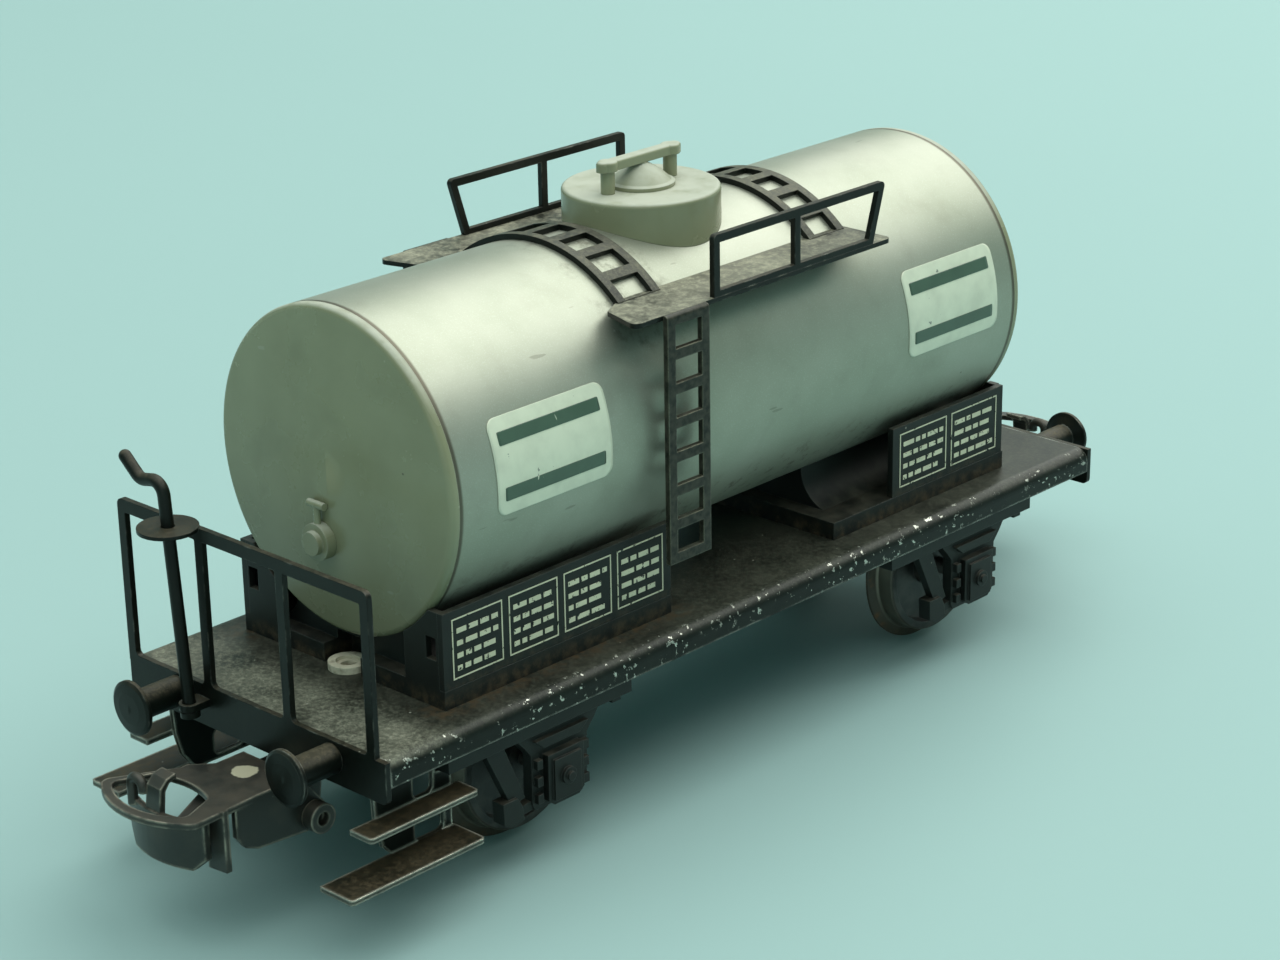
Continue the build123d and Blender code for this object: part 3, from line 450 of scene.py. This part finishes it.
def print_ink(name, ink, chips=0.3, under=None, grain_mm=0.9):
    """Printed or painted mark; chips shows the colour underneath in patches."""
    s = Shade(name)
    color = s.mix(s.step(s.noise(3.0, detail=4.0), 0.35, 0.75), ink, tuple(0.82 * c for c in ink))
    kept = 0.74 - 0.3 * chips
    lost = s.step(s.noise(grain_mm, detail=5.0, roughness=0.6, shift=2.0), kept, kept + 0.02)
    color = s.mix(lost, color, under or BLACK)
    crack = s.step(s.noise(1.5, detail=3.0, vector=s.stretched((1.0, 0.35, 0.35)), shift=21.0), 0.70, 0.715)
    color = s.mix(s.product(crack, 0.85), color, under or BLACK)
    color = s.mix(s.product(s.specks(1.6, 0.08, 0.25), 0.7), color, INK_SPECK)
    roughness = s.total(0.32, s.product(lost, 0.15))
    return s.finish(color, roughness, normal=s.bump(lost, 0.2, 0.03))


def stage_paper(name, color):
    """Plain paper with a very slight change of tone."""
    s = Shade(name)
    tone = s.mix(s.noise(180.0, detail=2.0), color, tuple(0.97 * c for c in color))
    return s.finish(tone, 0.75, specular=0.2)


# ---------------------------------------------------------------- dressing the frame
def dress(node, material):
    """Gives a node of the frame one material."""
    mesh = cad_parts[node].data
    mesh.materials.clear()
    mesh.materials.append(material)


def dress_frame():
    """Gives every node its material: its own, or that of the family its name starts with."""
    lacquer = black_lacquer("black_lacquer", wear=0.4, film=0.7, bare=(0.22, 0.22, 0.19), dust=BROWN_DUST)
    buffers = black_lacquer("buffer_lacquer", wear=0.5, film=1.1, dots=0.7, dust=BROWN_DUST)
    deck = black_lacquer("deck_lacquer", wear=0.9, film=0.85, dots=1.3, rim_mm=0.35, bend=deck_bend,
                         dust=(0.27, 0.27, 0.205), heavy=platform_part, soil=board_foot)
    steps = black_lacquer("step_lacquer", wear=1.7, film=0.8, dots=0.7, rim_mm=0.45, bare=(0.72, 0.69, 0.58),
                          dust=(0.105, 0.078, 0.042), fine=0.5)
    rungs = black_lacquer("ladder_lacquer", wear=1.1, film=0.6, dots=0.3, bare=(0.24, 0.23, 0.17), haze=0.45)
    walk = black_lacquer("walkway_lacquer", wear=0.5, film=1.0, dots=0.8, bare=(0.20, 0.195, 0.155),
                         dust=(0.42, 0.405, 0.30), fine=0.6)
    strap = black_lacquer("strap_lacquer", wear=0.4, film=0.75, dots=0.6, bare=(0.16, 0.15, 0.12),
                          dust=(0.25, 0.235, 0.165), fine=0.5)
    moulding = matt_moulding("black_moulding")
    cradle = matt_moulding("cradle_moulding", dirt=0.9, dirt_top=17.6)
    board = matt_moulding("board_black", dirt=0.6, dirt_top=18.6)
    grey = grey_moulding()
    coupler = coupler_steel()
    steel = plain_steel("axle_steel")
    finishes = {
        "tank_barrel": silver_lacquer(), "deck": deck, "cradle_screws": steel, "underframe_rivets": lacquer,
        "brake_crank": lacquer, "end_frame": lacquer, "rear_headstock": lacquer,
        "coupler_loop_front": coupler_steel("loop_steel", patch=LOOP_SPOT),
    }
    families = {
        "tank_end": grey, "dome": grey, "hatch": grey, "outlet": grey, "steps": steps, "catwalk": walk,
        "strap": strap, "handrail": lacquer, "ladder": rungs, "buffer": buffers, "axle_guard": moulding,
        "axle_front": steel, "axle_rear": steel, "cradle_": cradle, "data_board": board,
        "coupler_rivet": cream_moulding(), "coupler": coupler,
    }
    for end in ("front", "rear"):
        low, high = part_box(f"axle_{end}")
        casting = wheel_casting((low[0] + high[0]) / 2 / MM)
        for side in ("left", "right"):
            finishes[f"wheel_{end}_{side}"] = casting
    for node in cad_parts:
        if node in finishes:
            dress(node, finishes[node])
            continue
        family = next(prefix for prefix in families if node.startswith(prefix))
        dress(node, families[family])


# ---------------------------------------------------------------- mesh helpers
def add_mesh(name, build, materials, body="wagon", smooth=True):
    """A piece whose bmesh is filled in by build(bm), riding on a body."""
    bm = bmesh.new()
    build(bm)
    bmesh.ops.recalc_face_normals(bm, faces=bm.faces)
    mesh = bpy.data.meshes.new(name)
    bm.to_mesh(mesh)
    bm.free()
    for material in materials:
        mesh.materials.append(material)
    for polygon in mesh.polygons:
        polygon.use_smooth = smooth
    piece = bpy.data.objects.new(name, mesh)
    bpy.context.scene.collection.objects.link(piece)
    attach(piece, body)
    return piece


def shell(bm, outline, lift, thickness, to_space):
    """Closed thin plate: a flat outline of (u, v) points raised on both faces by to_space(u, v, height)."""
    lower = [bm.verts.new(to_space(u, v, lift)) for u, v in outline]
    upper = [bm.verts.new(to_space(u, v, lift + thickness)) for u, v in outline]
    count = len(outline)
    bm.faces.new(upper)
    bm.faces.new(lower[::-1])
    for i in range(count):
        j = (i + 1) % count
        bm.faces.new((lower[i], lower[j], upper[j], upper[i]))


# ---------------------------------------------------------------- plain painted panels on the tank
PANEL_X = (-24.3, 25.7)
PANEL_ANGLE = 81.0              # degrees from straight up, towards the side
PANEL_HALF = (6.3, 3.9)         # half width, and half height along the tank's curve
PANEL_CORNER = 0.9
BAND_HEIGHT = 2.2               # middle of each band above and below the panel's middle
BAND_HALF = 0.55
BAND_INSET = 0.8
BAND_CORNER = 0.1
PAINT_LIFT = 0.012
PAINT_THICK = 0.03
BAND_GAP = 0.002                # air between the panel and the bands on it


def tank_place(center_x, side):
    """Maps (along, round, height) in mm onto the barrel."""
    low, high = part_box("tank_barrel")
    axis_z = (low[2] + high[2]) / 2
    radius = (high[2] - low[2]) / 2 / MM

    def place(u, v, height):
        angle = math.radians(PANEL_ANGLE) - v / radius
        reach = (radius + height) * MM
        return (center_x * MM + u * MM, side * reach * math.sin(angle), axis_z + reach * math.cos(angle))
    return place


def curved_panel(bm, place, middle, half, corner, lift, columns=40, rows=24):
    """Rounded rectangle as a closed thin shell that follows the barrel."""
    half_width, half_height = half
    sides = []
    for level in (lift, lift + PAINT_THICK):
        grid = []
        for j in range(rows + 1):
            v = half_height * math.sin(math.pi / 2 * (2 * j / rows - 1))
            past = max(0.0, abs(v) - (half_height - corner))
            reach = half_width - corner + math.sqrt(max(0.0, corner ** 2 - past ** 2))
            grid.append([bm.verts.new(place(reach * (2 * i / columns - 1), v + middle, level))
                         for i in range(columns + 1)])
        sides.append(grid)
    for grid in sides:
        for j in range(rows):
            for i in range(columns):
                bm.faces.new((grid[j][i], grid[j][i + 1], grid[j + 1][i + 1], grid[j + 1][i]))
    low, high = sides
    for i in range(columns):
        for j in (0, rows):
            bm.faces.new((low[j][i], low[j][i + 1], high[j][i + 1], high[j][i]))
    for j in range(rows):
        for i in (0, columns):
            bm.faces.new((low[j][i], low[j + 1][i], high[j + 1][i], high[j][i]))


def side_panels():
    """A cream rounded panel with two green bands near each end of both sides of the tank."""
    field = print_ink("panel_cream", CREAM, chips=0.18, under=PAINT_UNDER, grain_mm=1.1)
    stripe = print_ink("panel_green", GREEN, chips=0.12, under=CREAM, grain_mm=0.8)
    for side, side_name in ((-1, "right"), (1, "left")):
        for end_name, center in zip(("front", "rear"), PANEL_X):
            place = tank_place(center, side)

            def plate(bm):
                curved_panel(bm, place, 0.0, PANEL_HALF, PANEL_CORNER, PAINT_LIFT)

            def bands(bm):
                for middle in (-BAND_HEIGHT, BAND_HEIGHT):
                    curved_panel(bm, place, middle, (PANEL_HALF[0] - BAND_INSET, BAND_HALF), BAND_CORNER,
                                 PAINT_LIFT + PAINT_THICK + BAND_GAP, rows=6)

            for kind, build, ink in (("field", plate, field), ("bands", bands, stripe)):
                piece = add_mesh(f"side_panel_{kind}_{end_name}_{side_name}", build, [ink])


# ---------------------------------------------------------------- printed marks on the data boards
FRAME_PITCH = 6.5               # about how wide each thin frame is
BOARD_MARGIN = 0.6              # bare ends of a board
FRAME_GAP = 0.35                # bare strip at each side of a frame
FRAME_MARGIN = 0.7              # bare strip above and below a frame
LINE_MARGIN = 0.5               # from the frame to the ends of its lines
FIRST_LINE = 1.35
LINE_PITCH = 1.05
LINE_HEIGHT = 0.42
LINES = 4
INK_LIFT = 0.005
INK_THICK = 0.03
BOARD_SEED = 31


def rectangle(x0, z0, x1, z1):
    """Corners of an upright rectangle."""
    return [(x0, z0), (x1, z0), (x1, z1), (x0, z1)]


def frame_marks(x0, z0, x1, z1, line=0.12):
    """Outline of a rectangle as four strips."""
    return [rectangle(x0, z0, x1, z0 + line), rectangle(x0, z1 - line, x1, z1),
            rectangle(x0, z0 + line, x0 + line, z1 - line),
            rectangle(x1 - line, z0 + line, x1, z1 - line)]


def dashes(rng, x0, x1, z, height, gap=0.28, shortest=0.5, longest=1.5):
    """A line of plain blocks, standing for a line of print."""
    marks = []
    x = x0
    while x < x1 - shortest:
        end = min(x + rng.uniform(shortest, longest), x1)
        marks.append(rectangle(x, z, end, z + height))
        x = end + gap
    return marks


def board_marks(rng, x0, x1, z0, z1):
    """Neutral pattern: thin frames of equal width, each with a few lines of plain blocks."""
    marks = []
    count = max(2, round((x1 - x0) / FRAME_PITCH))
    width = (x1 - x0 - 2 * BOARD_MARGIN) / count
    for i in range(count):
        left = x0 + BOARD_MARGIN + i * width + FRAME_GAP
        right = left + width - 2 * FRAME_GAP
        marks += frame_marks(left, z0 + FRAME_MARGIN, right, z1 - FRAME_MARGIN)
        for line in range(LINES):
            height = z0 + FIRST_LINE + LINE_PITCH * line
            marks += dashes(rng, left + LINE_MARGIN, right - LINE_MARGIN, height, LINE_HEIGHT)
    return marks


def board_prints():
    """The same neutral marks on all four data boards."""
    ink = print_ink("board_ink", BOARD_INK, chips=0.5, under=BLACK, grain_mm=0.5)
    for end in ("front", "rear"):
        for side, side_name in ((-1, "right"), (1, "left")):
            low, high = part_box(f"data_board_{end}_{side_name}")
            surface = low[1] if side < 0 else high[1]
            rng = random.Random(BOARD_SEED)
            spans = [value / MM for value in (low[0], high[0], low[2], high[2])]
            marks = board_marks(rng, *spans)

            def place(u, v, height):
                return (u * MM, surface + side * height * MM, v * MM)

            def build(bm):
                for mark in marks:
                    shell(bm, mark, INK_LIFT, INK_THICK, place)

            piece = add_mesh(f"board_print_{end}_{side_name}", build, [ink], smooth=False)


# ---------------------------------------------------------------- stage, lights and camera
CAMERA = {"lens": 85.71, "azimuth": -46.265, "elevation": 20.929, "roll": -0.9986, "distance": 265.04}
CAMERA_TARGET = (-0.747, 0.0, 21.94)     # mm, as the camera's distance
STAGE_RADIUS, STAGE_HEIGHT, STAGE_BEND, STAGE_FLAT = 1.6, 1.4, 0.7, 0.4     # metres
STAGE_SIDES = 96
BEND_STEPS = 8
PAPER = (0.30, 0.44, 0.43)
SKY = (0.80, 0.96, 0.94, 1.0)
SKY_STRENGTH = 1.05
WARM = (1.0, 1.0, 0.93)
COOL = (0.92, 1.0, 0.97)
LIGHTS = (                       # name, place, target, width and length in metres, watts, colour
    ("far_window", (0.62, 0.02, 0.60), (0.0, 0.0, 0.03), (1.0, 0.7), 5.7, WARM),
    ("overhead", (0.0, -0.10, 0.80), (0.0, 0.0, 0.02), (1.1, 1.1), 4.6, WARM),
    ("near_fill", (-0.60, -0.45, 0.30), (0.0, 0.0, 0.02), (0.5, 0.5), 0.45, COOL),
)


def camera():
    """Camera that looks from the platform end, slightly rolled."""
    azimuth = math.radians(CAMERA["azimuth"])
    elevation = math.radians(CAMERA["elevation"])
    roll = math.radians(CAMERA["roll"])
    back = Vector((math.sin(azimuth) * math.cos(elevation), -math.cos(azimuth) * math.cos(elevation),
                   math.sin(elevation)))
    right = (-back).cross(Vector((0, 0, 1))).normalized()
    up = right.cross(-back)
    rolled_right = right * math.cos(roll) + up * math.sin(roll)
    rolled_up = up * math.cos(roll) - right * math.sin(roll)
    place = Vector(CAMERA_TARGET) * MM + back * CAMERA["distance"] * MM
    data = bpy.data.cameras.new("camera")
    data.lens = CAMERA["lens"]
    data.sensor_width = 36.0
    data.clip_start = 0.005
    data.clip_end = 20.0
    view = bpy.data.objects.new("camera", data)
    turn = Matrix((rolled_right, rolled_up, back)).transposed().to_4x4()
    view.matrix_world = Matrix.Translation(place) @ turn
    bpy.context.scene.collection.objects.link(view)
    bpy.context.scene.camera = view


def area_light(name, place, target, size, power, color):
    """Rectangular light at place, turned towards target."""
    data = bpy.data.lights.new(name, "AREA")
    data.shape = "RECTANGLE"
    data.size, data.size_y = size
    data.energy = power
    data.color = color
    light = bpy.data.objects.new(name, data)
    light.location = place
    light.rotation_euler = (Vector(target) - Vector(place)).to_track_quat("-Z", "Y").to_euler()
    bpy.context.scene.collection.objects.link(light)


def cove_profile():
    """Radius and height of the stage from its flat middle to the top of its wall."""
    points = [(STAGE_FLAT, 0.0)]
    for step in range(BEND_STEPS + 1):
        turn = step * math.pi / (2 * BEND_STEPS)
        points.append((STAGE_RADIUS - STAGE_BEND + STAGE_BEND * math.sin(turn),
                       STAGE_BEND - STAGE_BEND * math.cos(turn)))
    points.append((STAGE_RADIUS, STAGE_HEIGHT))
    return points


def cove():
    """Pale floor that curves up into a backdrop all round."""
    bm = bmesh.new()
    turns = [2 * math.pi * i / STAGE_SIDES for i in range(STAGE_SIDES)]
    rings = []
    for r, z in cove_profile():
        rings.append([bm.verts.new((r * math.cos(turn), r * math.sin(turn), z)) for turn in turns])
    middle = bm.verts.new((0, 0, 0))
    for i in range(STAGE_SIDES):
        k = (i + 1) % STAGE_SIDES
        bm.faces.new((middle, rings[0][i], rings[0][k]))
        for j in range(len(rings) - 1):
            bm.faces.new((rings[j][i], rings[j + 1][i], rings[j + 1][k], rings[j][k]))
    bmesh.ops.recalc_face_normals(bm, faces=bm.faces)
    mesh = bpy.data.meshes.new("stage")
    bm.to_mesh(mesh)
    bm.free()
    mesh.materials.append(stage_paper("pale_paper", PAPER))
    for polygon in mesh.polygons:
        polygon.use_smooth = True
    floor = bpy.data.objects.new("stage", mesh)
    bpy.context.scene.collection.objects.link(floor)


def stage():
    """Floor, even light from all round and three soft lamps."""
    cove()
    world = bpy.data.worlds.new("world")
    world.use_nodes = True
    background = world.node_tree.nodes["Background"]
    background.inputs["Color"].default_value = SKY
    background.inputs["Strength"].default_value = SKY_STRENGTH
    bpy.context.scene.world = world
    for light in LIGHTS:
        area_light(*light)
    bpy.context.scene.view_settings.view_transform = "Standard"


camera()
stage()
dress_frame()
side_panels()
board_prints()
